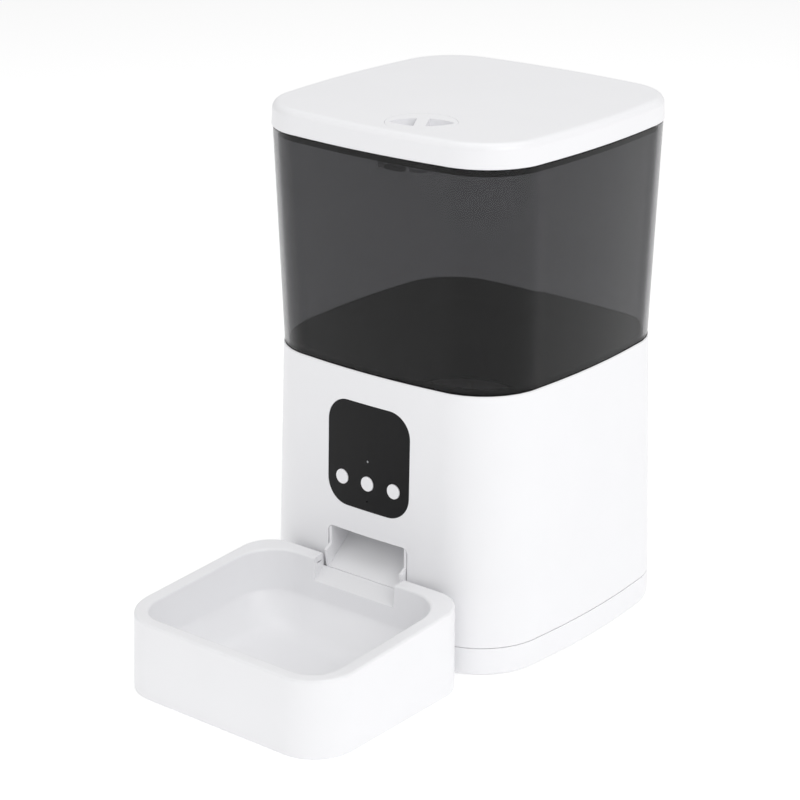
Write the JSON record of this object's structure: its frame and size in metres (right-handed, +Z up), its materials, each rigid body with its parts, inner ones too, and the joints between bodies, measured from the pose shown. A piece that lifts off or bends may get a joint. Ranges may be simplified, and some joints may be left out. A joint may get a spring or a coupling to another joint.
{
  "type": "automatic pet feeder",
  "caption": "Upright automatic pet feeder: rounded white housing with a smoky lift-off food tank and lid, dark control panel, food chute and a loose bowl in front.",
  "frame": {"origin": "centre of the footprint of feeder and bowl, on the surface it stands on", "axes": "+Z up, front with panel, outlet and bowl towards -Y, +X to the right seen from the front"},
  "size_m": [0.193, 0.3245, 0.3169],
  "materials": {
    "white_abs": "satin",
    "smoky_tank": "smoky translucent, glossy",
    "black_plastic": "fine matte",
    "black_silicone": "matte silicone",
    "rubber_foot": "matte",
    "circuit_board": "solder mask",
    "steel": "zinc plated",
    "bronze_bush": "sintered bronze",
    "cable": "PVC insulation",
    "clear_lens": "clear light guide",
    "acetal": "natural acetal"
  },
  "bodies": {
    "housing": {"base_tray": "white_abs", "rubber_feet": "rubber_foot", "battery_bay": "white_abs", "battery_contacts": "steel", "lower_shell": "white_abs", "control_panel": "black_plastic", "status_lens": "clear_lens", "microphone": "steel", "panel_board": "circuit_board", "tact_switches": "black_plastic", "main_board": "circuit_board", "speaker": "black_plastic", "usb_inlet": "steel", "chute": "white_abs", "rotor_chamber": "white_abs", "chamber_bush": "bronze_bush", "plate_bush": "bronze_bush", "gear_motor": "steel", "gear_plate": "acetal", "wiper": "black_silicone", "funnel": "black_plastic", "tank_seal": "black_silicone", "housing_screws": "steel", "gearbox_screws": "steel", "motor_screws": "steel", "chamber_screws": "steel", "board_screws": "steel", "motor_lead": "cable", "panel_lead": "cable", "power_lead": "cable", "battery_lead": "cable", "speaker_lead": "cable"},
    "battery_cover": {"battery_door": "white_abs"},
    "button_left": {"button_left": "white_abs"},
    "button_middle": {"button_middle": "white_abs"},
    "button_right": {"button_right": "white_abs"},
    "feed_rotor": {"rotor": "acetal", "rotor_shaft": "steel", "shaft_clip": "steel", "drive_gear": "acetal"},
    "pinion": {"motor_pinion": "acetal", "motor_shaft": "steel"},
    "tank": {"tank": "smoky_tank", "lock_keeper": "smoky_tank"},
    "lid": {"lid": "white_abs", "lid_gasket": "black_silicone"},
    "lock": {"lock_knob": "white_abs", "lock_tongue": "white_abs", "lock_screw": "steel"},
    "desiccant": {"desiccant_cup": "white_abs"},
    "bowl": {"bowl": "white_abs"}
  },
  "joints": [
    {"name": "bowl_slide", "type": "slide", "parent": "housing", "child": "bowl", "axis": [0, -1, 0], "range_m": [0, 0.08]},
    {"name": "tank_lift", "type": "slide", "parent": "housing", "child": "tank", "axis": [0, 0, 1], "range_m": [0, 0.05]},
    {"name": "lid_lift", "type": "slide", "parent": "tank", "child": "lid", "axis": [0, 0, 1], "range_m": [0, 0.03]},
    {"name": "lock_turn", "type": "hinge", "parent": "lid", "child": "lock", "pos_m": [0.0181, -0.00155, 0.3], "axis": [0, 0, 1], "range_deg": [0, 59]},
    {"name": "desiccant_turn", "type": "hinge", "parent": "lid", "child": "desiccant", "pos_m": [0, 0.08075, 0.3], "axis": [0, 0, 1], "range_deg": [0, 30]},
    {"name": "button_left_press", "type": "slide", "parent": "housing", "child": "button_left", "axis": [0, 0.9996, -0.0267], "range_m": [0, 0.0008], "stiffness_N_per_m": 500, "springref_m": -0.0004},
    {"name": "button_middle_press", "type": "slide", "parent": "housing", "child": "button_middle", "axis": [0, 0.9996, -0.0267], "range_m": [0, 0.0008], "stiffness_N_per_m": 500, "springref_m": -0.0004},
    {"name": "button_right_press", "type": "slide", "parent": "housing", "child": "button_right", "axis": [0, 0.9996, -0.0267], "range_m": [0, 0.0008], "stiffness_N_per_m": 500, "springref_m": -0.0004},
    {"name": "rotor_spin", "type": "hinge", "parent": "housing", "child": "feed_rotor", "pos_m": [0, 0.05975, 0.1], "axis": [0, 0, 1], "continuous": true},
    {"name": "pinion_spin", "type": "hinge", "parent": "housing", "child": "pinion", "pos_m": [0, 0.09575, 0.08], "axis": [0, 0, 1], "continuous": true},
    {"name": "battery_door_hinge", "type": "hinge", "parent": "housing", "child": "battery_cover", "pos_m": [0, 0.04595, 0.0012], "axis": [1, 0, 0], "range_deg": [0, 90]}
  ],
  "couplings": [
    {"joint": "pinion_spin", "follows": "rotor_spin", "ratio": -3}
  ]
}
